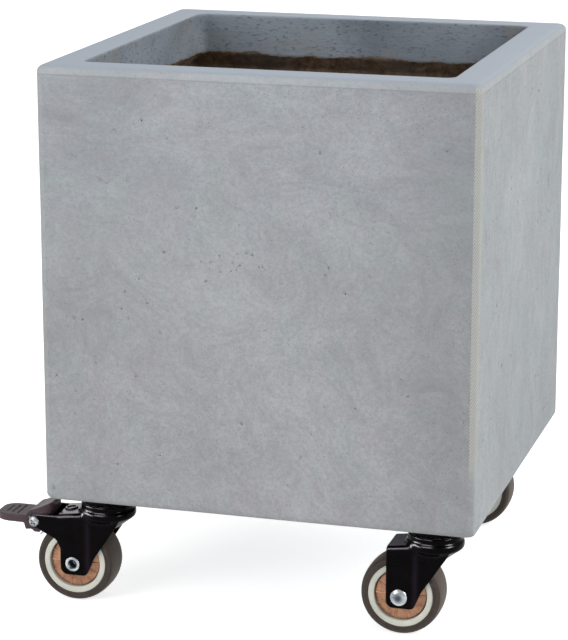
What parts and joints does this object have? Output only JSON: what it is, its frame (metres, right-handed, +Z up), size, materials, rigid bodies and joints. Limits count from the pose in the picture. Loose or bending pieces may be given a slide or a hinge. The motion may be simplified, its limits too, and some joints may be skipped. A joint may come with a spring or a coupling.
{
  "type": "rolling planter",
  "caption": "Square cast planter box with a thick rim band, on swivel casters with threaded stems, some of them with a foot brake.",
  "frame": {"origin": "on the floor, under the middle of the planter box", "axes": "+Z up; +X to the right and -Y to the front as the picture sees it; the casters trail towards -X at rest"},
  "size_m": [0.3123, 0.27, 0.342],
  "materials": {
    "fibre_clay": "fine concrete look, matt, mottled, with pinholes",
    "zinc_plate": "bright zinc plate",
    "bright_steel": "polished hardened steel",
    "black_paint": "gloss black paint on pressed sheet steel",
    "tyre_rubber": "satin, dark warm grey",
    "pale_plastic": "moulded, semi-gloss",
    "copper_plastic": "moulded, copper brown, satin metallic",
    "pedal_plastic": "moulded, satin, dark brown-black",
    "nylon": "natural nylon"
  },
  "bodies": {
    "planter": {"planter_shell": "fibre_clay", "stem_washers": "zinc_plate", "stem_nuts": "zinc_plate", "threaded_stem_fl": "zinc_plate", "race_cap_fl": "black_paint", "lower_race_fl": "zinc_plate", "swivel_balls_fl": "bright_steel", "threaded_stem_fr": "zinc_plate", "race_cap_fr": "black_paint", "lower_race_fr": "zinc_plate", "swivel_balls_fr": "bright_steel", "threaded_stem_rl": "zinc_plate", "race_cap_rl": "black_paint", "lower_race_rl": "zinc_plate", "swivel_balls_rl": "bright_steel", "threaded_stem_rr": "zinc_plate", "race_cap_rr": "black_paint", "lower_race_rr": "zinc_plate", "swivel_balls_rr": "bright_steel"},
    "caster_fl": {"fork_fl": "black_paint", "axle_fl": "zinc_plate", "axle_spacer_fl": "zinc_plate", "pedal_screw_fl": "zinc_plate", "pedal_nut_fl": "zinc_plate", "brake_leaf_fl": "bright_steel", "leaf_rivet_fl": "black_paint"},
    "wheel_fl": {"tyre_fl": "tyre_rubber", "wheel_core_fl": "pale_plastic", "hub_covers_fl": "copper_plastic", "axle_bushes_fl": "nylon"},
    "pedal_fl": {"brake_pedal_fl": "pedal_plastic"},
    "caster_fr": {"fork_fr": "black_paint", "axle_fr": "zinc_plate", "axle_spacer_fr": "zinc_plate"},
    "wheel_fr": {"tyre_fr": "tyre_rubber", "wheel_core_fr": "pale_plastic", "hub_covers_fr": "copper_plastic", "axle_bushes_fr": "nylon"},
    "caster_rl": {"fork_rl": "black_paint", "axle_rl": "zinc_plate", "axle_spacer_rl": "zinc_plate"},
    "wheel_rl": {"tyre_rl": "tyre_rubber", "wheel_core_rl": "pale_plastic", "hub_covers_rl": "copper_plastic", "axle_bushes_rl": "nylon"},
    "caster_rr": {"fork_rr": "black_paint", "axle_rr": "zinc_plate", "axle_spacer_rr": "zinc_plate", "pedal_screw_rr": "zinc_plate", "pedal_nut_rr": "zinc_plate", "brake_leaf_rr": "bright_steel", "leaf_rivet_rr": "black_paint"},
    "wheel_rr": {"tyre_rr": "tyre_rubber", "wheel_core_rr": "pale_plastic", "hub_covers_rr": "copper_plastic", "axle_bushes_rr": "nylon"},
    "pedal_rr": {"brake_pedal_rr": "pedal_plastic"}
  },
  "joints": [
    {"name": "swivel_fl", "type": "hinge", "parent": "planter", "child": "caster_fl", "pos_m": [-0.105, -0.105, 0.0625], "axis": [0, 0, 1], "continuous": true},
    {"name": "wheel_spin_fl", "type": "hinge", "parent": "caster_fl", "child": "wheel_fl", "pos_m": [-0.124, -0.105, 0.0255], "axis": [0, 1, 0], "continuous": true},
    {"name": "brake_fl", "type": "hinge", "parent": "caster_fl", "child": "pedal_fl", "pos_m": [-0.1493, -0.105, 0.0512], "axis": [0, 1, 0], "range_deg": [0, 20]},
    {"name": "swivel_fr", "type": "hinge", "parent": "planter", "child": "caster_fr", "pos_m": [0.105, -0.105, 0.0625], "axis": [0, 0, 1], "continuous": true},
    {"name": "wheel_spin_fr", "type": "hinge", "parent": "caster_fr", "child": "wheel_fr", "pos_m": [0.086, -0.105, 0.0255], "axis": [0, 1, 0], "continuous": true},
    {"name": "swivel_rl", "type": "hinge", "parent": "planter", "child": "caster_rl", "pos_m": [-0.105, 0.105, 0.0625], "axis": [0, 0, 1], "continuous": true},
    {"name": "wheel_spin_rl", "type": "hinge", "parent": "caster_rl", "child": "wheel_rl", "pos_m": [-0.124, 0.105, 0.0255], "axis": [0, 1, 0], "continuous": true},
    {"name": "swivel_rr", "type": "hinge", "parent": "planter", "child": "caster_rr", "pos_m": [0.105, 0.105, 0.0625], "axis": [0, 0, 1], "continuous": true},
    {"name": "wheel_spin_rr", "type": "hinge", "parent": "caster_rr", "child": "wheel_rr", "pos_m": [0.086, 0.105, 0.0255], "axis": [0, 1, 0], "continuous": true},
    {"name": "brake_rr", "type": "hinge", "parent": "caster_rr", "child": "pedal_rr", "pos_m": [0.0607, 0.105, 0.0512], "axis": [0, 1, 0], "range_deg": [0, 20]}
  ]
}
